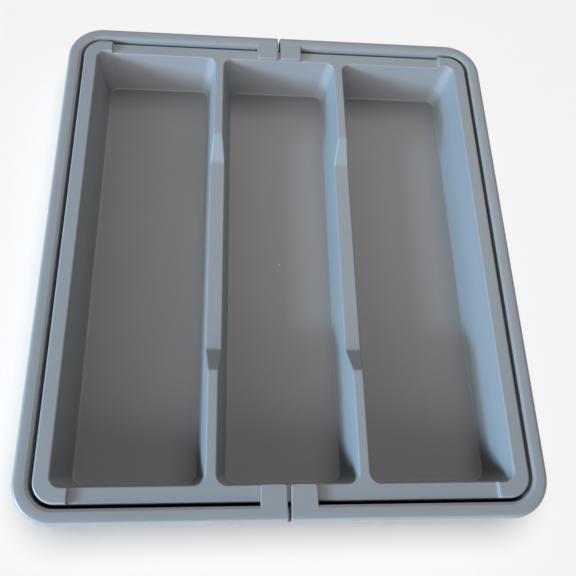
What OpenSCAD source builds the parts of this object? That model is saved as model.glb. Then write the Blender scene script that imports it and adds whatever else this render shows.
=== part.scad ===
// Expandable cutlery tray for a kitchen drawer.
// A centre tray with three long compartments lies inside two half trays, the wings.
// The wings slide out to the left and right from under it, guided by tabs on the
// front and back tracks of the centre rim, and open a further bay on each side.
// Origin: middle of the closed tray, on the surface it stands on. +X right, +Y back.

/* [Overall] */
// Width over the wing rims, pushed together
closed_w = 330; // [310:1:360]
// Depth over the wing rims, front to back
tray_d = 372; // [340:1:400]
// Height from the drawer floor to the top of the rims
tray_h = 45; // [40:1:60]
// Wall and floor thickness of the mouldings
wall = 2; // [1.6:0.1:2.4]
// Running clearance between parts that slide on each other
running = 0.3; // [0.2:0.05:0.5]

/* [Wings] */
// Width of the wing rim
rim_w = 9.4; // [8:0.1:11]
// Corner radius of the wing rim, outside
rim_corner_r = 26; // [24:0.5:32]
// Depth of the lip that turns down at the outer edge of the rim
lip_h = 8; // [5:0.5:12]
// Rounding of the outer edge of the rim
rim_outer_round = 2; // [0.5:0.1:2.4]
// Rounding of the inner edge of the rim
rim_inner_round = 3.2; // [1:0.1:3.5]
// Lean of the wing walls, in degrees
wing_draft = 6; // [3:0.5:8]
// Fillet between the wing wall and its floor
wing_fillet = 3; // [1:0.5:4]
// Gap between the two wings at the top of their rims, pushed together
split_gap = 2.2; // [1:0.1:4]
// Gap between the two wings below their rims, pushed together
split_seat = 0.4; // [0.3:0.05:0.8]
// Width of the tab at the inner end of each wing rim
tab_w = 16.5; // [12:0.5:22]
// Corner radius of the tab
tab_corner_r = 2; // [0.5:0.25:4]

/* [Centre tray] */
// Gap between the wing rim and the centre rim
rim_gap = 2.6; // [1.5:0.1:3.5]
// Width of the centre rim along the left and right sides
side_rim_w = 9.8; // [8:0.1:12]
// Width of the tracks along the front and back
track_w = 10; // [8:0.1:12]
// How far the tracks and dividers lie below the side rims
track_drop = 3; // [2:0.1:4]
// Length of the raised corner ears along the tracks
ear_len = 21; // [18:0.5:30]
// Depth of the lip under the centre rim
centre_lip_h = 7; // [6:0.5:10]
// Rounding of the outer edge of the centre rim
centre_round = 1.5; // [0.5:0.1:2]

/* [Compartments] */
// Width of the middle compartment, at its top edge
middle_w = 88.8; // [70:0.2:100]
// Width of the flat top of a divider
divider_w = 6.8; // [6:0.1:12]
// Lean of the compartment walls, in degrees
draft = 9; // [5:0.5:10]
// Corner radius of the compartment floor
floor_corner_r = 3; // [2.5:0.1:5]
// Fillet between the compartment walls and the floor
floor_fillet = 2.5; // [1:0.1:2.5]
// How far the middle of a divider dips below its ends
dip_depth = 8.5; // [4:0.5:14]
// Length of the level bottom of the dip
dip_len = 148; // [100:1:180]
// Length of each ramp down into the dip
ramp_len = 18; // [12:0.5:26]

/* [Feet] */
// Diameter of a rubber foot
foot_d = 12; // [8:0.5:16]
// How far the feet stand proud of the wing floor
foot_proud = 1; // [0.6:0.1:2]
// Depth of the recess that holds a foot
foot_recess = 0.8; // [0.4:0.1:1]
// Clearance around a foot in its recess
foot_clear = 0.2; // [0.1:0.05:0.4]
// Rounding of the edge a foot stands on
foot_round = 0.5; // [0.2:0.1:0.6]
// Distance of the outer feet from the outer edge of the rim
foot_inset_x = 36; // [34:1:50]
// Distance between the outer and inner feet of a wing
foot_pitch = 96; // [60:1:100]
// Distance of the feet from the front and back edges of the rim
foot_inset_y = 44; // [40:1:80]

/* [Hidden] */
$fn = 64;
moulding = [0.50, 0.53, 0.57];
rubber = [0.16, 0.16, 0.17];
// Extra length that carries a cut past the face it opens
past = 1;
// Straight steps that make up each rounded edge
arc_steps = 5;

// Heights, from the drawer floor up
wing_base_z = foot_proud;
wing_floor_z = wing_base_z + wall;
centre_base_z = wing_floor_z + running;
floor_z = centre_base_z + wall;
track_z = tray_h - track_drop;
dip_z = track_z - dip_depth;

// Corner posts: the centres of all rim corners, shared by the wings and the centre rim
post_x = closed_w / 2 - rim_corner_r;
post_y = tray_d / 2 - rim_corner_r;
wing_inner_r = rim_corner_r - rim_w;
under_round = max(rim_inner_round - wall, wall / 2);
centre_corner_r = wing_inner_r - rim_gap;
centre_x = post_x + centre_corner_r;
centre_y = post_y + centre_corner_r;
ear_x = centre_x - ear_len;

// Compartment edges at the height of the tracks
lean = tan(draft);
compartment_y = centre_y - track_w;
divider_x0 = middle_w / 2;
divider_x1 = divider_x0 + divider_w;
side_edge_x = centre_x - side_rim_w - track_drop * lean;
compartments = [[-side_edge_x, -divider_x1], [-divider_x0, divider_x0], [divider_x1, side_edge_x]];

// Dip in the dividers
dip_y = dip_len / 2;
ramp_y = dip_y + ramp_len;
ramp_angle = atan(dip_depth / ramp_len);
dip_reach = wall + dip_depth * lean + past;

// Split between the wings, tabs and feet
seat_x = split_seat / 2;
tab_x0 = split_gap / 2;
tab_x1 = tab_x0 + tab_w;
tab_z = track_z + running;
wing_lip_z = tray_h - lip_h;
wing_rim_y = post_y + wing_inner_r;
foot_outer_x = closed_w / 2 - foot_inset_x;
foot_inner_x = foot_outer_x - foot_pitch;
foot_y = tray_d / 2 - foot_inset_y;

function unit(a) = [cos(a), sin(a)];

// Points of the arc that rounds a corner. The edges leave the corner at angles a and b,
// b the larger, and the points run from the first edge to the second.
function rounded(corner, a, b, r) =
    let (centre = corner + r / sin((b - a) / 2) * unit((a + b) / 2))
    [for (i = [0:arc_steps]) centre + r * unit(a + 270 - (180 + a - b) * i / arc_steps)];

function backwards(points) = [for (i = [len(points) - 1:-1:0]) points[i]];

// Nearest hundredth of a millimetre, so that the straight and round stretches of a sweep meet
function hundredth(v) = round(v * 100) / 100;

// A half section, drawn outwards from the corner posts, swept round a full rectangle
// of posts. The core fills the middle from z0 to z1.
module sweep_round(px, py, z0, z1) {
    translate([-px, 0, 0]) rotate([90, 0, 90]) linear_extrude(2 * px) {
        for (side = [0, 1]) mirror([side, 0]) translate([py, 0]) children();
        translate([-py, z0]) square([2 * py, z1 - z0]);
    }
    for (side = [0, 1]) mirror([side, 0, 0]) {
        translate([px, py, 0]) rotate([90, 0, 0]) linear_extrude(2 * py) children();
        for (end = [0, 1]) mirror([0, end, 0])
            translate([px, py, 0]) rotate_extrude(angle = 90) children();
    }
}

// Half section of a leaning block with a rounded foot: r0 is its reach at the height z0
module leaning_section(r0, z0, z1) {
    polygon(concat(
        [[0, z1], [r0 + (z1 - z0) * lean, z1]],
        rounded([r0, z0], 90 - draft, 180, floor_fillet + floor_z - z0),
        [[0, z0]]
    ));
}

// One compartment as a block: the space inside, or the outside of its walls
module compartment(edges, outside) {
    grow = outside ? wall : 0;
    z0 = outside ? centre_base_z : floor_z;
    z1 = outside ? tray_h - wall / 2 : tray_h + past;
    top_r = floor_corner_r + (track_z - floor_z) * lean;
    foot_r = floor_corner_r + grow / cos(draft) + (z0 - floor_z) * lean;
    px = hundredth((edges[1] - edges[0]) / 2 - top_r);
    py = hundredth(compartment_y - top_r);
    translate([hundredth((edges[0] + edges[1]) / 2), 0, 0])
        sweep_round(px, py, z0, z1) leaning_section(foot_r, z0, z1);
}

// Rim of the centre tray: a thin plate with a lip all round, raised at the sides and ears
module centre_rim() {
    lip_z = track_z - centre_lip_h;
    difference() {
        sweep_round(post_x, post_y, lip_z, tray_h) polygon(concat(
            [[0, lip_z], [centre_corner_r, lip_z]],
            backwards(rounded([centre_corner_r, tray_h], 180, 270, centre_round)),
            [[0, tray_h]]
        ));
        difference() {
            sweep_round(post_x, post_y, lip_z - past, tray_h - wall)
                translate([0, lip_z - past]) square([centre_corner_r - wall, tray_h - wall - lip_z + past]);
            translate([-ear_x - wall, -tray_d / 2, track_z - wall])
                cube([2 * (ear_x + wall), tray_d, tray_h]);
        }
    }
}

// Side view of a divider's dip, drawn with y to the right and z up
module dip_outline(top_z) {
    polygon([
        [-ramp_y, track_z], [-dip_y, dip_z], [dip_y, dip_z], [ramp_y, track_z],
        [ramp_y, top_z], [-ramp_y, top_z]
    ]);
}

// The thin wall that closes the top of a hollow divider along its dip
module dip_band_outline() {
    shift = wall * tan(ramp_angle / 2);
    polygon([
        [-ramp_y - shift, track_z], [-ramp_y, track_z], [-dip_y, dip_z],
        [dip_y, dip_z], [ramp_y, track_z], [ramp_y + shift, track_z],
        [ramp_y + shift, track_z - wall], [dip_y + shift, dip_z - wall],
        [-dip_y - shift, dip_z - wall], [-ramp_y - shift, track_z - wall]
    ]);
}

module along_divider() {
    for (side = [0, 1]) mirror([side, 0, 0])
        translate([divider_x0 - dip_reach, 0, 0]) rotate([90, 0, 90])
            linear_extrude(divider_w + 2 * dip_reach) children();
}

module centre_tray() {
    color(moulding) difference() {
        union() {
            centre_rim();
            for (edges = compartments) compartment(edges, true);
            along_divider() dip_band_outline();
        }
        for (edges = compartments) compartment(edges, false);
        along_divider() dip_outline(tray_h + past);
        translate([-ear_x, -tray_d / 2, track_z]) cube([2 * ear_x, tray_d, track_drop + past]);
    }
}

// Half section of a wing, outwards from the corner posts: floor, leaning wall, rim and lip
module wing_section() {
    foot_in = wing_inner_r - (tray_h - wing_floor_z) * tan(wing_draft);
    foot_out = foot_in + wall / cos(wing_draft) - wall * tan(wing_draft);
    under_z = tray_h - wall;
    under_r = foot_out + (under_z - wing_base_z) * tan(wing_draft);
    up = 90 - wing_draft;
    polygon(concat(
        [[0, wing_floor_z]],
        backwards(rounded([foot_in, wing_floor_z], up, 180, wing_fillet)),
        rounded([wing_inner_r, tray_h], up - 180, 0, rim_inner_round),
        rounded([rim_corner_r, tray_h], 180, 270, rim_outer_round),
        [[rim_corner_r, wing_lip_z], [rim_corner_r - wall, wing_lip_z]],
        [[rim_corner_r - wall, under_z]],
        backwards(rounded([under_r, under_z], up - 180, 0, under_round)),
        rounded([foot_out, wing_base_z], up, 180, wing_fillet + wall),
        [[0, wing_base_z]]
    ));
}

// Tab at the inner end of the back rim, over the track
module tab() {
    seat_y = wing_rim_y + wall / 2;
    translate([0, 0, tab_z]) linear_extrude(tray_h - tab_z) polygon(concat(
        [[tab_x1, seat_y], [tab_x0, seat_y]],
        backwards(rounded([tab_x0, compartment_y], 0, 90, tab_corner_r)),
        backwards(rounded([tab_x1, compartment_y], 90, 180, tab_corner_r))
    ));
    translate([tab_x0, wing_rim_y, tray_h - wall]) cube([tab_w, rim_inner_round + wall / 2, wall]);
}

// Wall that closes the hollow of the back rim where the two wings meet
module rim_end() {
    inside = rim_corner_r - wall / 2;
    top_z = tray_h - wall / 2;
    bend_z = tray_h - rim_inner_round;
    function mid_wall(z) = wing_inner_r - (tray_h - z) * tan(wing_draft) + wall / 2;
    translate([seat_x, post_y, 0]) rotate([90, 0, 90]) linear_extrude(tab_x0 + wall - seat_x) polygon([
        [mid_wall(wing_lip_z), wing_lip_z], [inside, wing_lip_z], [inside, top_z],
        [wing_inner_r + rim_inner_round, top_z], [mid_wall(bend_z), bend_z]
    ]);
}

// What the split takes off: the rim ends lean back from the seat, and stand upright beside the tabs
module split_cut() {
    rotate([90, 0, 0]) linear_extrude(tray_d + past, center = true) polygon([
        [seat_x, wing_lip_z], [tab_x0, tab_z],
        [tab_x0, tray_h + past], [-past, tray_h + past], [-past, wing_lip_z]
    ]);
}

// The right wing. The left one is its mirror image
module wing() {
    difference() {
        union() {
            translate([seat_x, 0, 0]) rotate([90, 0, 90]) linear_extrude(post_x - seat_x) {
                for (end = [0, 1]) mirror([end, 0]) translate([post_y, 0]) wing_section();
                translate([-post_y, wing_base_z]) square([2 * post_y, wall]);
            }
            translate([post_x, post_y, 0]) rotate([90, 0, 0]) linear_extrude(2 * post_y) wing_section();
            for (end = [0, 1]) mirror([0, end, 0]) {
                translate([post_x, post_y, 0]) rotate_extrude(angle = 90) wing_section();
                tab();
                rim_end();
            }
        }
        split_cut();
        for (x = [foot_inner_x, foot_outer_x], y = [-foot_y, foot_y])
            translate([x, y, wing_base_z - past])
                cylinder(d = foot_d + 2 * foot_clear, h = foot_recess + past);
    }
}

module left_wing() { color(moulding) mirror([1, 0, 0]) wing(); }

module right_wing() { color(moulding) wing(); }

// Rubber foot, pressed up into its recess
module foot(x, y) {
    foot_h = foot_proud + foot_recess;
    color(rubber) translate([x, y, 0]) rotate_extrude() polygon(concat(
        [[0, foot_h], [foot_d / 2, foot_h]],
        rounded([foot_d / 2, 0], 90, 180, foot_round),
        [[0, 0]]
    ));
}

centre_tray();
left_wing();
right_wing();
foot(-foot_outer_x, -foot_y);  // left_front_outer_foot
foot(-foot_inner_x, -foot_y);  // left_front_inner_foot
foot(-foot_outer_x, foot_y);  // left_back_outer_foot
foot(-foot_inner_x, foot_y);  // left_back_inner_foot
foot(foot_outer_x, -foot_y);  // right_front_outer_foot
foot(foot_inner_x, -foot_y);  // right_front_inner_foot
foot(foot_outer_x, foot_y);  // right_back_outer_foot
foot(foot_inner_x, foot_y);  // right_back_inner_foot
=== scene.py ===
# %% [markdown]
# # An expandable cutlery tray
# The tray is three grey plastic mouldings on eight rubber feet: a centre tray with three compartments,
# and two wings that slide out from under it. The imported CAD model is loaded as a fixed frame. Each
# moulding is then built again as a finer mesh in the same place, because a moulded part is known by its
# soft edges, fillets and leaning walls, and those are what the light catches.

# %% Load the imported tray
import math

import bmesh
import bpy
from mathutils import Matrix, Vector


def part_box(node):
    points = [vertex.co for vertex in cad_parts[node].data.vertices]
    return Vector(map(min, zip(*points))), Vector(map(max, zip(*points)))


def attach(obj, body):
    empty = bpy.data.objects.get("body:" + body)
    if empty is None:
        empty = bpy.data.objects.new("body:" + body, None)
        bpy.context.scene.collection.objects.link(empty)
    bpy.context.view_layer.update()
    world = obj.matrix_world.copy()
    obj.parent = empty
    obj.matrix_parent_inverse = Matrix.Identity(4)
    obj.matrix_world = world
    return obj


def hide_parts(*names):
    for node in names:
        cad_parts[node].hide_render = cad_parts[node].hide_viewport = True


MM = 0.001

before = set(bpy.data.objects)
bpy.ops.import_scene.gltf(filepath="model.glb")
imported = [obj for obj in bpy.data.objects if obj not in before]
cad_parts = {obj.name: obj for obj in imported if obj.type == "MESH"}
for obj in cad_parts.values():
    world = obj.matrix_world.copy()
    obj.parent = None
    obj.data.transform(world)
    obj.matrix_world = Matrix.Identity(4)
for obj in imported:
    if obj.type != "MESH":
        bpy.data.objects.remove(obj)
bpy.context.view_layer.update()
scene = bpy.context.scene
scene.view_settings.view_transform = "Standard"

# %% [markdown]
# ## Camera
# The photograph looks steeply down into the tray from the front, held a little askew by hand. Straight
# edges of the tray, matched with their pixels, give the place, the direction and the focal length. The
# picture was cropped, so its optical centre lies above the middle, and a small lens shift repeats that.

# %% Camera at the photograph's viewpoint
IMAGE_SIZE = 576
FOCAL_PIXELS = 720
OPTICAL_CENTRE = (291.3, 251.3)
CAMERA_PLACE = Vector((-46.1, -223.2, 500.1)) * MM
CAMERA_LOOK = Vector((0.1012, 0.4265, -0.8988))
CAMERA_UP = Vector((-0.0199, 0.9041, 0.4268))


def photograph_camera():
    """A camera with the photograph's place, tilt, focal length and optical centre."""
    lens = bpy.data.cameras.new("photograph_lens")
    lens.lens = lens.sensor_width * FOCAL_PIXELS / IMAGE_SIZE
    lens.shift_x = 0.5 - OPTICAL_CENTRE[0] / IMAGE_SIZE
    lens.shift_y = OPTICAL_CENTRE[1] / IMAGE_SIZE - 0.5
    camera = bpy.data.objects.new("photograph_camera", lens)
    right = CAMERA_LOOK.cross(CAMERA_UP).normalized()
    back = -CAMERA_LOOK.normalized()
    turn = Matrix((right, back.cross(right), back)).transposed()
    camera.matrix_world = Matrix.Translation(CAMERA_PLACE) @ turn.to_4x4()
    scene.collection.objects.link(camera)
    return camera


scene.camera = photograph_camera()
print("lens in mm:", round(scene.camera.data.lens, 1))

# %% [markdown]
# ## Light
# In the photograph a window low on the left lights the walls that face it in a cool light. Its lower
# part throws clear shadows of the dividers on these walls, and its upper part reaches the floors through
# the dips. The room in front lights the back walls, and a warmer light from behind gives the far edges
# a sheen. Four soft lamps do the same over a faint sky. A lamp's level is the brightness that it gives
# to white facing it. On the rims, which face up, the levels add up to about one, so a colour shows as
# it is written. The window would tint the studio floor blue, so light linking keeps these lamps off it,
# and a neutral sun with a broad disc lights the floor alone. Where the sky is seen or reflected it is as
# pale as the floor, so that the horizon hardly shows.

# %% Floor, lamps and sky
TRAY_MIDDLE = Vector((0, 0, 30 * MM))
PALE = (0.88, 0.88, 0.88, 1)
FLOOR_SPAN = 8.0
FLOOR_ROUGHNESS = 0.9
FLOOR_SHINE = 0.1
SKY_COLOUR = (1.0, 0.93, 0.86, 1)
SKY_LEVEL = 0.03


def soft_lamp(name, place, size, level, tint, lit):
    """A rectangular lamp, sized in metres, that gives white facing it, at the tray, that level."""
    light = bpy.data.lights.new(name, "AREA")
    light.shape = "RECTANGLE"
    light.size, light.size_y = size
    reach = Vector(place) - TRAY_MIDDLE
    light.energy = level * math.pi**2 * reach.length_squared
    light.color = tint
    lamp = bpy.data.objects.new(name, light)
    lamp.matrix_world = Matrix.Translation(place) @ reach.to_track_quat("Z", "Y").to_matrix().to_4x4()
    lamp.light_linking.receiver_collection = lit
    scene.collection.objects.link(lamp)


def floor_sun(level, spread, lit):
    """A light from straight above, even over the whole floor, from a disc that spans some degrees."""
    light = bpy.data.lights.new("floor_sun", "SUN")
    light.energy = level * math.pi
    light.angle = math.radians(spread)
    lamp = bpy.data.objects.new("floor_sun", light)
    lamp.light_linking.receiver_collection = lit
    scene.collection.objects.link(lamp)


def receivers(name, thing, state):
    """A set of receivers for a lamp: only this thing, or everything but it."""
    chosen = bpy.data.collections.new(name)
    chosen.objects.link(thing)
    chosen.collection_objects[0].light_linking.link_state = state
    return chosen


def pale_floor():
    """A plain pale surface under the tray, which keeps the tray's shadow."""
    half = FLOOR_SPAN / 2
    mesh = bpy.data.meshes.new("studio_floor")
    corners = [(-half, -half, 0), (half, -half, 0), (half, half, 0), (-half, half, 0)]
    mesh.from_pydata(corners, [], [(0, 1, 2, 3)])
    paint = bpy.data.materials.new("pale_paint")
    paint.use_nodes = True
    shader = paint.node_tree.nodes["Principled BSDF"]
    shader.inputs["Base Color"].default_value = PALE
    shader.inputs["Roughness"].default_value = FLOOR_ROUGHNESS
    shader.inputs["Specular IOR Level"].default_value = FLOOR_SHINE
    mesh.materials.append(paint)
    floor = bpy.data.objects.new("studio_floor", mesh)
    scene.collection.objects.link(floor)
    return floor


def even_sky():
    """An even sky that lights softly, and looks as pale as the floor where it is seen or reflected."""
    world = bpy.data.worlds.new("even_sky")
    world.use_nodes = True
    tree = world.node_tree
    tree.nodes.clear()
    lights = tree.nodes.new("ShaderNodeBackground")
    lights.inputs["Color"].default_value = SKY_COLOUR
    lights.inputs["Strength"].default_value = SKY_LEVEL
    pale = tree.nodes.new("ShaderNodeBackground")
    pale.inputs["Color"].default_value = PALE
    rays = tree.nodes.new("ShaderNodeLightPath")
    choice = tree.nodes.new("ShaderNodeMixShader")
    result = tree.nodes.new("ShaderNodeOutputWorld")
    seen = rays.outputs["Is Camera Ray"]
    for kind in ("Is Glossy Ray", "Is Transmission Ray"):
        either = tree.nodes.new("ShaderNodeMath")
        either.operation = "MAXIMUM"
        tree.links.new(seen, either.inputs[0])
        tree.links.new(rays.outputs[kind], either.inputs[1])
        seen = either.outputs[0]
    tree.links.new(seen, choice.inputs[0])
    tree.links.new(lights.outputs[0], choice.inputs[1])
    tree.links.new(pale.outputs[0], choice.inputs[2])
    tree.links.new(choice.outputs[0], result.inputs[0])
    scene.world = world


studio_floor = pale_floor()
even_sky()
tray_only = receivers("tray_only", studio_floor, "EXCLUDE")
floor_only = receivers("floor_only", studio_floor, "INCLUDE")
soft_lamp(
    "low_window_lamp",
    place=(-2.75, -0.91, 0.81),
    size=(0.5, 0.2),
    level=0.85,
    tint=(0.31, 0.64, 1.0),
    lit=tray_only,
)
soft_lamp(
    "high_window_lamp",
    place=(-2.09, -1.05, 0.91),
    size=(0.5, 0.35),
    level=0.73,
    tint=(0.67, 0.88, 1.0),
    lit=tray_only,
)
soft_lamp(
    "room_lamp",
    place=(-0.57, -1.76, 0.78),
    size=(2.4, 1.3),
    level=0.9,
    tint=(1.0, 0.955, 0.95),
    lit=tray_only,
)
soft_lamp(
    "back_lamp",
    place=(0.25, 0.53, 0.96),
    size=(0.9, 0.7),
    level=0.34,
    tint=(1.0, 0.89, 0.82),
    lit=tray_only,
)
floor_sun(level=0.98, spread=55, lit=floor_only)

# %% [markdown]
# ## Node arithmetic
# Shaders and geometry trees are wired from the same small class. It wraps one output socket, so that
# `0.4 + 0.1 * cloud` adds the Math nodes by itself, and one method adds any other node.


# %% Signals
class Signal:
    """One output socket of a node tree. Arithmetic on it adds Math nodes to the same tree."""

    def __init__(self, tree, socket=None):
        self.tree = tree
        self.socket = socket

    def node(self, kind, settings=(), inputs=(), output=0):
        """Adds a node, makes its settings, then fills its sockets with values or links."""
        made = self.tree.nodes.new(kind)
        for name, value in dict(settings).items():
            setattr(made, name, value)
        for key, value in dict(inputs).items():
            if isinstance(value, Signal):
                self.tree.links.new(value.socket, made.inputs[key])
            else:
                made.inputs[key].default_value = value
        return Signal(self.tree, made.outputs[output] if made.outputs else None)

    def sum_node(self, operation, first, second):
        """A Math node on two signals or numbers."""
        return self.node("ShaderNodeMath", {"operation": operation}, {0: first, 1: second})

    def __add__(self, other):
        return self.sum_node("ADD", self, other)

    def __radd__(self, other):
        return self.sum_node("ADD", other, self)

    def __sub__(self, other):
        return self.sum_node("SUBTRACT", self, other)

    def __rsub__(self, other):
        return self.sum_node("SUBTRACT", other, self)

    def __rmul__(self, other):
        return self.sum_node("MULTIPLY", other, self)


print("operators: + - *")

# %% [markdown]
# ## Moulded plastic
# The trays are polypropylene with a satin finish. Up close such a wall isn't smooth: the mould was
# spark-eroded, which leaves a fine even grain, and the melt cools unevenly, so broad patches are a touch
# glossier or paler. The colour is also painted paler towards the tops and darker on the floors: painted
# light on the tops and painted shade deep in the bowls, and the tops are made a touch smoother. Noise
# and height on Object coordinates give all of this, so it sits still on the piece.

# %% Satin polypropylene
# Painted shade and painted light: the darker colour below the lower height, the paler one above the
# upper.
PLASTIC_PAINTED_SHADE = (0.222, 0.229, 0.238, 1)
PLASTIC_PAINTED_LIGHT = (0.292, 0.309, 0.331, 1)
PAINTED_SHADE_HEIGHT = 8 * MM
PAINTED_LIGHT_HEIGHT = 36 * MM
GRAIN_SIZE = 0.7 * MM
GRAIN_RELIEF = 0.05 * MM
GRAIN_STRENGTH = 0.25
PATCH_SIZE = 60 * MM
PLASTIC_IOR = 1.49


def blank_material(name):
    """A material with an empty tree, a signal to build it from, and Object coordinates."""
    material = bpy.data.materials.new(name)
    material.use_nodes = True
    material.node_tree.nodes.clear()
    graph = Signal(material.node_tree)
    return material, graph, graph.node("ShaderNodeTexCoord", output="Object")


def noise(graph, place, size, detail):
    """Noise with features of about a size in metres."""
    return graph.node("ShaderNodeTexNoise", (), {"Vector": place, "Scale": 1 / size, "Detail": detail})


def relief(graph, height, depth, strength):
    """Bumps of a depth in metres."""
    return graph.node("ShaderNodeBump", (), {"Strength": strength, "Distance": depth, "Height": height})


def blend(graph, share, first, second):
    """A colour between two. A Mix node has its colours on sockets 6 and 7 and its result on output 2."""
    return graph.node("ShaderNodeMix", {"data_type": "RGBA"}, {0: share, 6: first, 7: second}, output=2)


def satin_plastic(name, shaded_tone, lit_tone):
    """Polypropylene with spark-eroded grain, broad patches of gloss, and painted shade on the floors and
    painted light on the tops.
    """
    material, graph, place = blank_material(name)
    patch = noise(graph, place, PATCH_SIZE, detail=3)
    grain = noise(graph, place, GRAIN_SIZE, detail=2)
    height = graph.node("ShaderNodeSeparateXYZ", (), {"Vector": place}, output="Z")
    # Height share from the floors up to the tops. It paints shade low in the bowls and light on the
    # tops, and makes the tops a touch smoother.
    height_share = graph.node(
        "ShaderNodeMapRange",
        {"interpolation_type": "SMOOTHSTEP"},
        {"Value": height, "From Min": PAINTED_SHADE_HEIGHT, "From Max": PAINTED_LIGHT_HEIGHT},
    )
    # Painted shade on the floors and painted light on the tops, with random paler patches.
    colour = blend(graph, 0.7 * height_share + 0.3 * patch, shaded_tone, lit_tone)
    shader = graph.node(
        "ShaderNodeBsdfPrincipled",
        (),
        {
            "Base Color": colour,
            "Roughness": 0.36 + 0.08 * patch + 0.05 * grain - 0.06 * height_share,
            "IOR": PLASTIC_IOR,
            "Normal": relief(graph, grain, GRAIN_RELIEF, GRAIN_STRENGTH),
        },
    )
    graph.node("ShaderNodeOutputMaterial", (), {"Surface": shader})
    return material


plastic = satin_plastic("satin_plastic", PLASTIC_PAINTED_SHADE, PLASTIC_PAINTED_LIGHT)
print("plastic nodes:", len(plastic.node_tree.nodes))

# %% [markdown]
# ## Rubber
# The feet are a matt black thermoplastic rubber. A fine mottle keeps the black from looking painted,
# and dust makes it greyer in patches.

# %% Matt rubber
RUBBER_DEEP = (0.035, 0.035, 0.038, 1)
RUBBER_DUSTY = (0.075, 0.075, 0.078, 1)
MOTTLE_SIZE = 2.5 * MM
MOTTLE_RELIEF = 0.1 * MM
MOTTLE_STRENGTH = 0.3


def matt_rubber():
    """Dark rubber with a fine mottle and a dry surface."""
    material, graph, place = blank_material("matt_rubber")
    mottle = noise(graph, place, MOTTLE_SIZE, detail=4)
    colour = blend(graph, mottle, RUBBER_DEEP, RUBBER_DUSTY)
    shader = graph.node(
        "ShaderNodeBsdfPrincipled",
        (),
        {
            "Base Color": colour,
            "Roughness": 0.68 + 0.2 * mottle,
            "Normal": relief(graph, mottle, MOTTLE_RELIEF, MOTTLE_STRENGTH),
        },
    )
    graph.node("ShaderNodeOutputMaterial", (), {"Surface": shader})
    return material


rubber = matt_rubber()
print("rubber nodes:", len(rubber.node_tree.nodes))

# %% [markdown]
# ## Round corners
# Nearly every line on a moulding is a straight run with rounded corners. One helper turns a list of
# corners, each with its own radius, into such a line. It draws the dips in the dividers, the steps at
# the ears, the wing's section, the tabs and the feet.

# %% Rounded lines and finished pieces
ARC_STEPS = 6
SHARP_ANGLE = math.radians(42)


def unit(angle):
    """The unit vector at an angle in degrees."""
    return Vector((math.cos(math.radians(angle)), math.sin(math.radians(angle))))


def rounding(before, corner, after, radius):
    """Points of the arc that rounds a corner, from the edge before it to the edge after it."""
    first = (before - corner).normalized()
    second = (after - corner).normalized()
    half = first.angle(second) / 2
    centre = corner + (first + second).normalized() * (radius / math.sin(half))
    start = corner + first * (radius / math.tan(half)) - centre
    end = corner + second * (radius / math.tan(half)) - centre
    begin = math.atan2(start.y, start.x)
    turn = (math.atan2(end.y, end.x) - begin + math.pi) % (2 * math.pi) - math.pi
    angles = [math.degrees(begin + turn * i / ARC_STEPS) for i in range(ARC_STEPS + 1)]
    return [centre + unit(angle) * radius for angle in angles]


def rounded_line(corners):
    """A line through corners given as (x, y, radius). Its ends, and corners of radius 0, stay sharp."""
    spots = [Vector(corner[:2]) for corner in corners]
    line = [spots[0]]
    for i in range(1, len(spots) - 1):
        radius = corners[i][2]
        line += rounding(spots[i - 1], spots[i], spots[i + 1], radius) if radius else [spots[i]]
    return line + [spots[-1]]


def finished_piece(name, mesh, material, body, nodes=()):
    """Links a mesh as a smooth piece that rides on a CAD body and stands for CAD nodes."""
    mesh.materials.clear()
    mesh.materials.append(material)
    mesh.shade_smooth()
    mesh.set_sharp_from_angle(angle=SHARP_ANGLE)
    piece = bpy.data.objects.new(name, mesh)
    scene.collection.objects.link(piece)
    weighted = piece.modifiers.new("Flat faces stay flat", "WEIGHTED_NORMAL")
    weighted.keep_sharp = True
    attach(piece, body)
    if nodes:
        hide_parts(*nodes)
    print(name, "has", len(mesh.polygons), "faces")


print("a rounded right angle has", len(rounded_line([(0, 0, 0), (1, 0, 0.2), (1, 1, 0)])), "points")

# %% [markdown]
# ## Centre tray
# The centre tray is one sheet of plastic about 2 mm thick, pressed into three deep bowls. All of it can
# be walked along edges: at each place on the edge of a bowl, or of the outer rim, the section of the
# sheet is a few arcs and straight lines. So the mesh is made from stations. A station knows its place,
# which way is out, and how high the land beside it is, and gives its section at any depth below the
# show surface. The same stations at depth 0 make the top skin, and at the wall's depth the underside.

# %% Stations of the centre tray
WALL = 2.0 * MM
DRAFT = math.radians(9)
LEAN = math.tan(DRAFT)
TRACK_DROP = 3.0 * MM
BROW_ROUND = 1.1 * MM
FLOOR_ROUND = 1.2 * MM
RIM_ROUND = 1.4 * MM
LIP_DEPTH = 7.0 * MM
LIP_ROUND = 0.5 * MM
BROW_STEPS = 5
FLOOR_STEPS = 6

centre_lo, centre_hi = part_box("centre_tray")
rim_top = centre_hi.z
track_top = rim_top - TRACK_DROP
floor_top = centre_lo.z + WALL
lip_bottom = track_top - LIP_DEPTH
EAST = Vector((1, 0))
NORTH = Vector((0, 1))
STILL = Vector((0, 0))


def lift(plan, height):
    """The point at a height over a place in plan."""
    return Vector((plan.x, plan.y, height))


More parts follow.
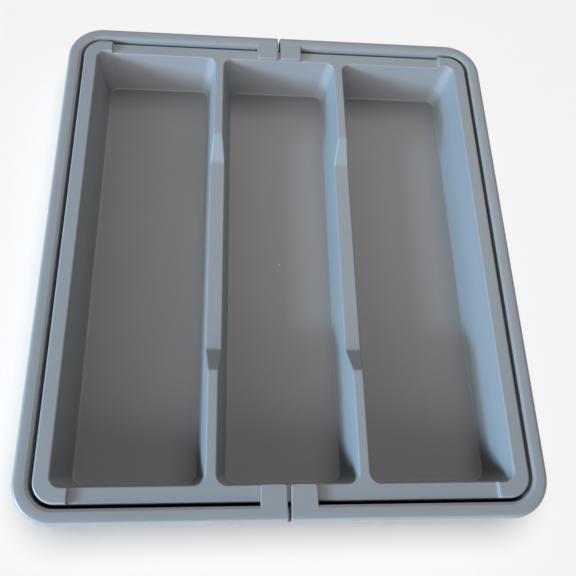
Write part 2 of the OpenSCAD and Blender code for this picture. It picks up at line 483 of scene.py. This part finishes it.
class BowlStation:
    """A place on the top edge of a compartment.

    Drift is how the wall moves in as it goes down. Shift points along the edge, towards a raised ear:
    there the underside lies further out by the wall's thickness, and the wall's lines slide the other
    way, so that they stay clear of the corner's lines.
    """

    def __init__(self, edge, outward, drift, top, shift=STILL):
        self.edge = edge
        self.outward = outward
        self.drift = drift
        self.top = top
        self.shift = shift

    def wall_line(self, height, depth):
        """The place in plan where the straight wall, or its extension, passes a height."""
        along = depth - LEAN * (self.top - height)
        return self.edge + self.drift * (LEAN * (track_top - height)) + self.shift * along

    def section(self, depth):
        """From the land over the rounded brow, down the leaning wall and round into the floor."""
        lean = math.atan(-LEAN * self.drift.dot(self.outward))
        sweep = math.pi / 2 - lean
        reach = math.tan(sweep / 2)
        bend = max(BROW_ROUND, depth)
        brow = self.wall_line(self.top, depth) + self.outward * bend * reach
        toe = self.wall_line(floor_top, depth) - self.outward * FLOOR_ROUND * reach
        points = []
        for i in range(BROW_STEPS + 1):
            angle = sweep * i / BROW_STEPS
            radius = bend - depth
            height = self.top - bend + radius * math.cos(angle)
            points.append(lift(brow - self.outward * radius * math.sin(angle), height))
        for i in range(FLOOR_STEPS + 1):
            angle = lean + sweep * i / FLOOR_STEPS
            radius = FLOOR_ROUND + depth
            height = floor_top + FLOOR_ROUND - radius * math.sin(angle)
            points.append(lift(toe + self.outward * radius * math.cos(angle), height))
        return points


class RimStation:
    """A place on the outer edge of the centre rim."""

    def __init__(self, edge, outward, top, shift=STILL):
        self.edge = edge
        self.outward = outward
        self.top = top
        self.shift = shift

    def section(self, depth):
        """From the land over the rounded edge and down the lip."""
        edge = self.edge + self.shift * depth
        bend = max(RIM_ROUND, depth)
        points = []
        for i in range(BROW_STEPS + 1):
            angle = math.pi / 2 * i / BROW_STEPS
            radius = bend - depth
            height = self.top - bend + radius * math.cos(angle)
            points.append(lift(edge - self.outward * (bend - radius * math.sin(angle)), height))
        turned_in = depth - LIP_ROUND if depth else LIP_ROUND
        points.append(lift(edge - self.outward * depth, lip_bottom + LIP_ROUND))
        points.append(lift(edge - self.outward * turned_in, lip_bottom))
        return points


print("heights in mm:", [round(z / MM, 1) for z in (rim_top, track_top, floor_top, lip_bottom)])

# %% [markdown]
# ### The three compartments
# Each compartment is a loop of stations: four rounded corners with straight sides between them. Only
# the height of the land changes along the loop. It steps down from the corner ears to the tracks, and
# dips in the middle of each divider, where fingers reach across for the cutlery.

# %% Loops of stations
SIDE_RIM = 9.8 * MM
TRACK_WIDTH = 10.0 * MM
MIDDLE_WIDTH = 88.8 * MM
DIVIDER_WIDTH = 6.8 * MM
BOWL_CORNER = 7.0 * MM
CORNER_STEPS = 10
EAR_LENGTH = 21.0 * MM
EAR_ROUND = 0.8 * MM
EAR_FOOT = 0.6 * MM
EAR_LEAN = 0.2 * MM
EAR_RUN = 1.6 * MM
DIP_DEPTH = 13.0 * MM
DIP_LENGTH = 148.0 * MM
RAMP_LENGTH = 18.0 * MM
RAMP_ROUND = 5.0 * MM
CENTRE_CORNER = 14.0 * MM

side_edge = centre_hi.x - SIDE_RIM - TRACK_DROP * LEAN
end_edge = centre_hi.y - TRACK_WIDTH
divider_inner = MIDDLE_WIDTH / 2
divider_outer = divider_inner + DIVIDER_WIDTH
ear_end = centre_hi.x - EAR_LENGTH
dip_end = DIP_LENGTH / 2
ramp_end = dip_end + RAMP_LENGTH
dip_top = track_top - DIP_DEPTH
level_end = ramp_end + RAMP_ROUND

dip = rounded_line([
    (-level_end, track_top, 0),
    (-ramp_end, track_top, RAMP_ROUND),
    (-dip_end, dip_top, RAMP_ROUND),
    (dip_end, dip_top, RAMP_ROUND),
    (ramp_end, track_top, RAMP_ROUND),
    (level_end, track_top, 0),
])
ear_step = rounded_line([
    (ear_end + EAR_RUN, rim_top, 0),
    (ear_end, rim_top, EAR_ROUND),
    (ear_end - EAR_LEAN, track_top, EAR_FOOT),
    (ear_end - EAR_RUN, track_top, 0),
])
left_ear = [(-spot.x, spot.y, -EAST) for spot in ear_step]
right_ear = [(spot.x, spot.y, EAST) for spot in reversed(ear_step)]


def quarter(x, y, radius):
    """Places and outward directions round the corner at (x, y), anticlockwise."""
    across = Vector((math.copysign(1, x), math.copysign(1, y)))
    centre = Vector((x, y)) - across * radius
    start = math.degrees(math.atan2(across.y, across.x)) - 45
    outs = [unit(start + 90 * i / CORNER_STEPS) for i in range(CORNER_STEPS + 1)]
    return [(centre + out * radius, out) for out in outs]


def bowl(x0, x1, left_top, right_top, left_dip, right_dip, ear):
    """Stations round one compartment, anticlockwise from its front right corner."""
    middle = Vector(((x0 + x1) / 2, 0))

    def corner(x, y, top):
        drift = Vector((math.copysign(1, middle.x - x), math.copysign(1, -y)))
        spots = quarter(x - middle.x, y, BOWL_CORNER)
        return [BowlStation(middle + spot, out, drift, top) for spot, out in spots]

    return {
        "front right": corner(x1, -end_edge, right_top),
        "right": [BowlStation(Vector((x1, y)), EAST, -EAST, z) for y, z in right_dip],
        "back right": corner(x1, end_edge, right_top),
        "back": [
            BowlStation(Vector((x, end_edge)), NORTH, -NORTH, z, out) for x, z, out in reversed(ear)
        ],
        "back left": corner(x0, end_edge, left_top),
        "left": [BowlStation(Vector((x0, y)), -EAST, EAST, z) for y, z in reversed(left_dip)],
        "front left": corner(x0, -end_edge, left_top),
        "front": [BowlStation(Vector((x, -end_edge)), -NORTH, NORTH, z, out) for x, z, out in ear],
    }


bowls = [
    bowl(-side_edge, -divider_outer, rim_top, track_top, [], dip, left_ear),
    bowl(-divider_inner, divider_inner, track_top, track_top, dip, dip, []),
    bowl(divider_outer, side_edge, track_top, rim_top, dip, [], right_ear),
]
left_bowl, middle_bowl, right_bowl = bowls
print("stations round each compartment:", [sum(map(len, stations.values())) for stations in bowls])

# %% [markdown]
# ### Rim and lands
# The outer rim is one more loop. Its front and back take the same places along X as the compartments,
# so that the flat lands between them are plain rows of four-sided faces. A divider's top is a land too,
# between the facing edges of two compartments.

# %% Rim loop and pairs of edges that a land joins


def end_row(side):
    """Stations along one end of the tray, from left to right, over all three compartments."""
    row = []
    for stations in bowls:
        if side == "front":
            row += [stations["front left"][-1], *stations["front"], stations["front right"][0]]
        else:
            row += [stations["back left"][0], *reversed(stations["back"]), stations["back right"][-1]]
    return row


def rim_corner(x, y):
    """Stations round one corner of the rim."""
    return [RimStation(spot, out, rim_top) for spot, out in quarter(x, y, CENTRE_CORNER)]


def rim_row(row, y, outward):
    """Stations along one end of the rim, each beside one of a row of bowl stations."""
    return [RimStation(Vector((s.edge.x, y)), outward, s.top, s.shift) for s in row[1:-1]]


front_row = end_row("front")
back_row = end_row("back")
rim = {
    "front right": rim_corner(centre_hi.x, -centre_hi.y),
    "back right": rim_corner(centre_hi.x, centre_hi.y),
    "back": rim_row(back_row, centre_hi.y, NORTH)[::-1],
    "back left": rim_corner(-centre_hi.x, centre_hi.y),
    "front left": rim_corner(-centre_hi.x, -centre_hi.y),
    "front": rim_row(front_row, -centre_hi.y, -NORTH),
}
lands = [
    (front_row, [rim["front left"][-1], *rim["front"], rim["front right"][0]]),
    (back_row, [rim["back left"][0], *reversed(rim["back"]), rim["back right"][-1]]),
    (right_bowl["front right"] + right_bowl["back right"], rim["front right"] + rim["back right"]),
    (left_bowl["back left"] + left_bowl["front left"], rim["back left"] + rim["front left"]),
]
for left, right in ((left_bowl, middle_bowl), (middle_bowl, right_bowl)):
    near = left["front right"] + left["right"] + left["back right"]
    far = right["back left"] + right["left"] + right["front left"]
    lands.append((near, far[::-1]))
print("lands:", len(lands))

# %% [markdown]
# ### One closed skin
# Rows of faces between neighbouring sections make the bowls and the lip, rows between paired edges make
# the lands, and one face closes each floor. The two skins meet along the bottom of the lip.

# %% Centre tray mesh
WELD = 0.002 * MM


def strip(first, second):
    """Four-sided faces between two rows of as many points."""
    return [(first[i], first[i + 1], second[i + 1], second[i]) for i in range(len(first) - 1)]


def around(loop, depth):
    """The sections round a closed loop of stations, with the first one again at the end."""
    sections = [station.section(depth) for part in loop.values() for station in part]
    return sections + sections[:1]


def skin(depth):
    """All faces of the tray's surface at a depth below the show side."""
    faces = []
    for loop in (*bowls, rim):
        sections = around(loop, depth)
        for here, there in zip(sections, sections[1:]):
            faces += strip(here, there)
        if loop is not rim:
            faces.append([section[-1] for section in sections[:-1]])
    for inner, outer in lands:
        faces += strip([s.section(depth)[0] for s in inner], [s.section(depth)[0] for s in outer])
    return faces


def tell_closed(name, shell):
    """Prints how many edges of a shell are open, and its volume."""
    open_edges = sum(not edge.is_manifold for edge in shell.edges)
    print(name, "open edges:", open_edges, "volume in cm3:", round(shell.calc_volume() * 1e6, 1))


def closed_mesh(name, faces):
    """A mesh from faces given as points, welded and with its normals outwards."""
    shell = bmesh.new()
    for face in faces:
        shell.faces.new([shell.verts.new(point) for point in face])
    bmesh.ops.remove_doubles(shell, verts=shell.verts, dist=WELD)
    bmesh.ops.dissolve_degenerate(shell, edges=shell.edges, dist=WELD)
    bmesh.ops.recalc_face_normals(shell, faces=shell.faces)
    tell_closed(name, shell)
    mesh = bpy.data.meshes.new(name)
    shell.to_mesh(mesh)
    shell.free()
    return mesh


lip_outside = [section[-1] for section in around(rim, 0)]
lip_inside = [section[-1] for section in around(rim, WALL)]
tray_faces = skin(0) + skin(WALL) + strip(lip_outside, lip_inside)
centre_mesh = closed_mesh("centre_tray_moulding", tray_faces)
finished_piece("centre_tray_moulding", centre_mesh, plastic, "centre", ["centre_tray"])

# %% [markdown]
# ### Gate mark
# Plastic enters the mould at one point. Where the runner was broken off, a small pip stays, whitened by
# the strain. On this tray it is in the exact middle of the middle floor. A low dome, turned about its
# own axis, is all it needs, in a paler mix of the same plastic.

# %% Gate mark
GATE_RADIUS = 0.9 * MM
GATE_HEIGHT = 0.3 * MM
# The strain-whitened plastic in a pair of colours: painted shade low down, where the gate sits, and
# painted light higher up.
STRAINED_PAINTED_SHADE = (0.50, 0.51, 0.53, 1)
STRAINED_PAINTED_LIGHT = (0.60, 0.61, 0.63, 1)
TURN_STEPS = 32


def turned(name, outline):
    """A closed mesh turned about Z. Its outline of (radius, height) starts and ends on the axis."""
    rings = []
    for i in range(TURN_STEPS + 1):
        out = unit(360 * (i % TURN_STEPS) / TURN_STEPS)
        rings.append([lift(out * spot.x, spot.y) for spot in outline])
    faces = []
    for here, there in zip(rings, rings[1:]):
        faces += strip(here, there)
    return closed_mesh(name, faces)


gate_outline = rounded_line([
    (0, -GATE_HEIGHT, 0),
    (GATE_RADIUS, -GATE_HEIGHT, 0),
    (GATE_RADIUS, GATE_HEIGHT, GATE_HEIGHT),
    (0, GATE_HEIGHT, 0),
])
gate_mesh = turned("gate_mark", gate_outline)
gate_mesh.transform(Matrix.Translation((0, 0, floor_top)))
strained_plastic = satin_plastic("strained_plastic", STRAINED_PAINTED_SHADE, STRAINED_PAINTED_LIGHT)
finished_piece("gate_mark", gate_mesh, strained_plastic, "centre")

# %% [markdown]
# ## Wings
# A wing is half a shallow tray: a floor, three leaning walls and a rolled rim. Its wall and rim have the
# same section all the way round, so a Geometry Nodes tree sweeps one section along a path with rounded
# corners. The section could be modelled by hand at each corner instead, but a sweep keeps it true, and
# the corner radius stays one number.

# %% Section of a wing
RIM_WIDTH = 9.4 * MM
RIM_CROWN = 0.12 * MM
RIM_CROWN_ROUND = 16.0 * MM
RIM_SLOPE = 1.7 * MM
RIM_SLOPE_DROP = 1.0 * MM
RIM_SLOPE_ROUND = 2.4 * MM
RIM_INNER_ROUND = 0.35 * MM
RIM_OUTER_ROUND = 2.6 * MM
UNDER_ROUND = 1.2 * MM
WING_LIP = 8.0 * MM
WING_LIP_ROUND = 0.8 * MM
WING_DRAFT = math.radians(6)
WING_FILLET = 3.0 * MM
WING_CORNER = 26.0 * MM
FLOOR_EDGE = 22.0 * MM
SPLIT_GAP = 2.2 * MM
SEAT_GAP = 0.1 * MM
RUNNING_GAP = 0.3 * MM

wing_lo, wing_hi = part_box("right_wing")
wing_top = wing_hi.z
wing_floor = wing_lo.z + WALL
wing_rise = (wing_top - wing_floor) * math.tan(WING_DRAFT)
foot_inside = -RIM_WIDTH - wing_rise
foot_outside = foot_inside + WALL / math.cos(WING_DRAFT) - WALL * math.tan(WING_DRAFT)
under_height = wing_top - WALL
under_corner = foot_outside + (under_height - wing_lo.z) * math.tan(WING_DRAFT)
lip_low = wing_top - WING_LIP
lip_corner = WING_LIP_ROUND - WALL
fold_inner = foot_inside + (lip_low - wing_floor) * math.tan(WING_DRAFT)
fold_outer = foot_outside + (lip_low - wing_lo.z) * math.tan(WING_DRAFT)
edge_inner = -RIM_WIDTH - RIM_SLOPE_DROP * math.tan(WING_DRAFT)
wing_section = rounded_line([
    (-FLOOR_EDGE, wing_floor, 0),
    (foot_inside, wing_floor, WING_FILLET),
    (fold_inner, lip_low, 0),
    (edge_inner, wing_top - RIM_SLOPE_DROP, RIM_INNER_ROUND),
    (RIM_SLOPE - RIM_WIDTH, wing_top - RIM_CROWN, RIM_SLOPE_ROUND),
    (-RIM_WIDTH / 2, wing_top, RIM_CROWN_ROUND),
    (0, wing_top - RIM_CROWN, RIM_OUTER_ROUND),
    (0, lip_low, WING_LIP_ROUND),
    (-WALL, lip_low, WING_LIP_ROUND),
    (-WALL, under_height, 0),
    (under_corner, under_height, UNDER_ROUND),
    (fold_outer, lip_low, 0),
    (foot_outside, wing_lo.z, WING_FILLET + WALL),
    (-FLOOR_EDGE, wing_lo.z, 0),
])
print("points in the wing's section:", len(wing_section))

# %% [markdown]
# ### The sweep
# The path is a rectangle with its corners filleted, opened at the split between the two wings. Curve to
# Mesh lays the section's X along the curve's normal and its Y square to that, here straight down, so
# the section is drawn with its heights negative. Modifier inputs are set by socket identifier.

# %% Geometry Nodes trees
PATH_STEPS = 14
LENGTH = "NodeSocketFloat"


def new_tree(name, sizes):
    """An empty geometry tree with a geometry input and output and named size inputs."""
    tree = bpy.data.node_groups.new(name, "GeometryNodeTree")
    tree.interface.new_socket("Geometry", in_out="INPUT", socket_type="NodeSocketGeometry")
    for label, kind in sizes.items():
        tree.interface.new_socket(label, in_out="INPUT", socket_type=kind)
    tree.interface.new_socket("Geometry", in_out="OUTPUT", socket_type="NodeSocketGeometry")
    return tree


def given(graph, label):
    """The tree's own input of that name."""
    return graph.node("NodeGroupInput", output=label)


def end_tree(graph, geometry, material):
    """Realizes instances, sets the material and links the result to the tree's output."""
    real = graph.node("GeometryNodeRealizeInstances", (), {"Geometry": geometry})
    painted = graph.node("GeometryNodeSetMaterial", (), {"Geometry": real, "Material": material})
    graph.node("NodeGroupOutput", (), {"Geometry": painted})


def plain_mesh(piece):
    """The evaluated piece as a mesh of its own."""
    graph = bpy.context.evaluated_depsgraph_get()
    return bpy.data.meshes.new_from_object(piece.evaluated_get(graph))


def grown(name, mesh, tree, values):
    """The plain mesh that a geometry tree makes from a mesh, with the tree's inputs set by name."""
    seed = bpy.data.objects.new(name, mesh)
    scene.collection.objects.link(seed)
    modifier = seed.modifiers.new("Grow", "NODES")
    modifier.node_group = tree
    for item in tree.interface.items_tree:
        if item.in_out == "INPUT" and item.name in values:
            modifier[item.identifier] = values[item.name]
    result = plain_mesh(seed)
    bpy.data.objects.remove(seed)
    return result


def sweep_tree(material):
    """Sweeps the incoming line round three sides of a filleted rectangle."""
    lengths = dict.fromkeys(("Start", "Half width", "Half depth", "Corner"), LENGTH)
    tree = new_tree("wing_sweep", {**lengths, "Steps": "NodeSocketInt"})
    graph = Signal(tree)
    start = given(graph, "Start")
    width = given(graph, "Half width")
    depth = given(graph, "Half depth")
    front = 0 - depth
    corners = [(start, front), (width, front), (width, depth), (start, depth)]
    points = {}
    for i, (x, y) in enumerate(corners):
        points[f"Point {i + 1}"] = graph.node("ShaderNodeCombineXYZ", (), {"X": x, "Y": y})
    path = graph.node("GeometryNodeCurvePrimitiveQuadrilateral", {"mode": "POINTS"}, points)
    path = graph.node("GeometryNodeSetSplineCyclic", (), {"Geometry": path, "Cyclic": False})
    path = graph.node(
        "GeometryNodeFilletCurve",
        {"mode": "POLY"},
        {"Curve": path, "Count": given(graph, "Steps"), "Radius": given(graph, "Corner")},
    )
    path = graph.node("GeometryNodeSetCurveNormal", {"mode": "Z_UP"}, {"Curve": path})
    line = graph.node("GeometryNodeMeshToCurve", (), {"Mesh": given(graph, "Geometry")})
    swept = graph.node("GeometryNodeCurveToMesh", (), {"Curve": path, "Profile Curve": line})
    end_tree(graph, swept, material)
    return tree


section_mesh = bpy.data.meshes.new("wing_section")
section_edges = [(i, i + 1) for i in range(len(wing_section) - 1)]
section_mesh.from_pydata([(spot.x, -spot.y, 0) for spot in wing_section], section_edges, [])
swept_mesh = grown(
    "wing_sweep",
    section_mesh,
    sweep_tree(plastic),
    {
        "Start": SPLIT_GAP / 2 + WALL,
        "Half width": wing_hi.x,
        "Half depth": wing_hi.y,
        "Corner": WING_CORNER,
        "Steps": PATH_STEPS,
    },
)
sections_made = len(swept_mesh.vertices) // len(wing_section)
print("sections along the sweep:", sections_made)

# %% [markdown]
# ### Floor and closed ends
# The sweep stops short of the floor and of the split. The first and last points of every section are
# the edges of the floor's two faces. At the split the rim's hollow is closed by an end wall, which leans
# back towards the top, so the two wings almost meet below and leave a dark gap above. Each end is drawn
# from the points of the last section, without those of the hollow, and a small bevel rounds its edges.

# %% Close the wing
END_ROUND = 0.5 * MM
END_STEPS = 3


def nearest(line, x, y):
    """The number of the line's point that lies nearest to a place."""
    return min(range(len(line)), key=lambda i: (line[i] - Vector((x, y))).length)


def end_x(height):
    """How far from the middle of the tray the wing ends, at a height."""
    share = (height - lip_low) / (track_top + RUNNING_GAP - lip_low)
    return SEAT_GAP / 2 + (SPLIT_GAP - SEAT_GAP) / 2 * min(max(share, 0), 1)


def closed_wing(swept, section, rings_made):
    """Adds the floor's faces and the closed, rounded ends to the swept wall."""
    count = len(section)
    inner = nearest(section, fold_inner, lip_low)
    outer = nearest(section, fold_outer, lip_low)
    hollow = nearest(section, lip_corner, lip_low)
    outline = [*range(hollow + 1), *range(outer, count)]
    shell = bmesh.new()
    shell.from_mesh(swept)
    shell.verts.ensure_lookup_table()
    rings = [shell.verts[i * count:(i + 1) * count] for i in range(rings_made)]
    tips = []
    ends = []
    seats = []
    for ring in (rings[0], rings[-1]):
        tip = {i: shell.verts.new((end_x(ring[i].co.z), *ring[i].co.yz)) for i in outline}
        for i, j in zip(outline, outline[1:]):
            shell.faces.new((ring[i], ring[j], tip[j], tip[i]))
        shell.faces.new(ring[hollow:outer + 1])
        ends.append(shell.faces.new([tip[i] for i in outline if inner <= i <= outer]))
        seats.append(shell.edges.get((tip[hollow], tip[outer])))
        tips.append(tip)
    front, back = tips
    for edge in (0, count - 1):
        shell.faces.new([front[edge], *(ring[edge] for ring in rings), back[edge]])
    shown = range(inner + 1)
    hidden = range(outer, count)
    below = [front[i] for i in reversed(shown)] + [back[i] for i in shown]
    below += [back[i] for i in hidden] + [front[i] for i in reversed(hidden)]
    ends.append(shell.faces.new(below))
    bmesh.ops.recalc_face_normals(shell, faces=shell.faces)
    outer_edges = {edge for end in ends for edge in end.edges if not set(edge.link_faces) <= set(ends)}
    bmesh.ops.bevel(
        shell,
        geom=list(outer_edges - set(seats)),
        offset=END_ROUND,
        segments=END_STEPS,
        profile=0.5,
        affect="EDGES",
        clamp_overlap=True,
    )
    bmesh.ops.recalc_face_normals(shell, faces=shell.faces)
    tell_closed("wing", shell)
    shell.to_mesh(swept)
    shell.free()
    return swept


wing_mesh = closed_wing(swept_mesh, wing_section, sections_made)

# %% [markdown]
# ### Tabs and foot recesses
# Where the two wings meet, each rim ends in a tab that lies over the centre tray's track and keeps the
# wing from lifting. A tab is a stack of outlines, drawn in towards the top, and a Boolean joins it to
# the rim. The same step cuts the round recesses that hold the feet.

# %% Tabs, recesses and both wings
TAB_WIDTH = 16.5 * MM
TAB_CORNER = 2.0 * MM
TAB_EDGE = 0.8 * MM
TAB_DIP = 0.05 * MM
TAB_LEDGE = 0.2 * MM
FOOT_GAP = 0.2 * MM
FOOT_RECESS = 0.8 * MM

foot_nodes = {
    side: [f"{side}_{end}_{row}_foot" for end in ("front", "back") for row in ("inner", "outer")]
    for side in ("left", "right")
}
foot_boxes = [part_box(node) for node in foot_nodes["right"]]
foot_centres = [(lo + hi) / 2 for lo, hi in foot_boxes]
foot_radius = (foot_boxes[0][1].x - foot_boxes[0][0].x) / 2
foot_top = foot_boxes[0][1].z


def tab_ring(inset, height, root):
    """Outline of a tab at a height, drawn in by the inset on its three free sides."""
    left = end_x(height) + inset
    right = SPLIT_GAP / 2 + TAB_WIDTH - inset
    nose = end_edge + inset
    line = rounded_line([
        (left, root, 0),
        (left, nose, TAB_CORNER - inset),
        (right, nose, TAB_CORNER - inset),
        (right, root, 0),
    ])
    return [lift(spot, height) for spot in line]


def tab_faces():
    """The tab at the back: its lower half ends inside the wall, its upper half inside the rim."""
    ledge = under_height + TAB_LEDGE
    wall_root = wing_hi.y - RIM_WIDTH + WALL / 2
    rim_root = wing_hi.y - WALL * 2
    top = wing_top - TAB_DIP
    rings = [
        tab_ring(0, track_top + RUNNING_GAP, wall_root),
        tab_ring(0, ledge, wall_root),
        tab_ring(0, ledge, rim_root),
    ]
    for i in range(BROW_STEPS + 1):
        angle = math.pi / 2 * i / BROW_STEPS
        inset = TAB_EDGE * (1 - math.cos(angle))
        height = top - TAB_EDGE * (1 - math.sin(angle))
        rings.append(tab_ring(inset, height, rim_root))
    faces = [rings[0], rings[-1]]
    for lower, upper in zip(rings, rings[1:]):
        faces += strip(lower + lower[:1], upper + upper[:1])
    return faces


def recess_cutters():
    """Short cylinders that cut the foot recesses from below."""
    radius = foot_radius + FOOT_GAP
    outline = rounded_line([
        (0, -FOOT_RECESS, 0),
        (radius, -FOOT_RECESS, 0),
        (radius, foot_top, 0),
        (0, foot_top, 0),
    ])
    cutters = []
    for centre in foot_centres:
        mesh = turned("foot_recess", outline)
        mesh.transform(Matrix.Translation((centre.x, centre.y, 0)))
        cutters.append(mesh)
    return cutters


def mirrored(mesh, axis):
    """The mirror image of a mesh across the plane through the origin that is square to an axis."""
    image = mesh.copy()
    image.transform(Matrix.Scale(-1, 4, axis))
    image.flip_normals()
    return image


def carved(mesh, joined, cut):
    """The mesh with some meshes joined to it and others cut from it."""
    work = bpy.data.objects.new("wing_work", mesh)
    scene.collection.objects.link(work)
    tools = []
    for operation, meshes in (("UNION", joined), ("DIFFERENCE", cut)):
        for tool_mesh in meshes:
            tool = bpy.data.objects.new("wing_tool", tool_mesh)
            scene.collection.objects.link(tool)
            modifier = work.modifiers.new(operation, "BOOLEAN")
            modifier.operation = operation
            modifier.solver = "EXACT"
            modifier.object = tool
            tools.append(tool)
    result = plain_mesh(work)
    for used in (*tools, work):
        bpy.data.objects.remove(used)
    return result


back_tab = closed_mesh("tab", tab_faces())
front_tab = mirrored(back_tab, (0, 1, 0))
right_mesh = carved(wing_mesh, [back_tab, front_tab], recess_cutters())
left_mesh = mirrored(right_mesh, (1, 0, 0))
finished_piece("right_wing_moulding", right_mesh, plastic, "right_wing", ["right_wing"])
finished_piece("left_wing_moulding", left_mesh, plastic, "left_wing", ["left_wing"])

# %% [markdown]
# ## Feet
# Four rubber feet are pressed into the recesses under each wing. They repeat, so a second geometry tree
# puts one turned foot on the corners of a grid. Each has a rounded edge and a shallow ring groove, which
# is how such feet grip.

# %% Feet
FOOT_EDGE = 0.5 * MM
GROOVE_OUTER = 4.2 * MM
GROOVE_INNER = 3.0 * MM
GROOVE_DEPTH = 0.3 * MM
GROOVE_ROUND = 0.1 * MM


def grid_tree(material):
    """Puts the incoming mesh on the four corners of a rectangle."""
    tree = new_tree("four_feet", {"Across": LENGTH, "Along": LENGTH, "Centre": "NodeSocketVector"})
    graph = Signal(tree)
    grid = graph.node(
        "GeometryNodeMeshGrid",
        (),
        {
            "Size X": given(graph, "Across"),
            "Size Y": given(graph, "Along"),
            "Vertices X": 2,
            "Vertices Y": 2,
        },
    )
    shift = {"Geometry": grid, "Translation": given(graph, "Centre")}
    corners = graph.node("GeometryNodeTransform", (), shift)
    pair = {"Points": corners, "Instance": given(graph, "Geometry")}
    feet = graph.node("GeometryNodeInstanceOnPoints", (), pair)
    end_tree(graph, feet, material)
    return tree


foot_outline = rounded_line([
    (0, 0, 0),
    (GROOVE_INNER, 0, GROOVE_ROUND),
    (GROOVE_INNER, GROOVE_DEPTH, GROOVE_ROUND),
    (GROOVE_OUTER, GROOVE_DEPTH, GROOVE_ROUND),
    (GROOVE_OUTER, 0, GROOVE_ROUND),
    (foot_radius, 0, FOOT_EDGE),
    (foot_radius, foot_top, 0),
    (0, foot_top, 0),
])
feet_tree = grid_tree(rubber)
foot_across = max(c.x for c in foot_centres) - min(c.x for c in foot_centres)
foot_along = max(c.y for c in foot_centres) - min(c.y for c in foot_centres)
foot_middle = sum(c.x for c in foot_centres) / len(foot_centres)
for side, sign in (("left", -1), ("right", 1)):
    feet_mesh = grown(
        f"{side}_feet",
        turned("foot", foot_outline),
        feet_tree,
        {"Across": foot_across, "Along": foot_along, "Centre": (sign * foot_middle, 0, 0)},
    )
    finished_piece(f"{side}_feet", feet_mesh, rubber, f"{side}_wing", foot_nodes[side])
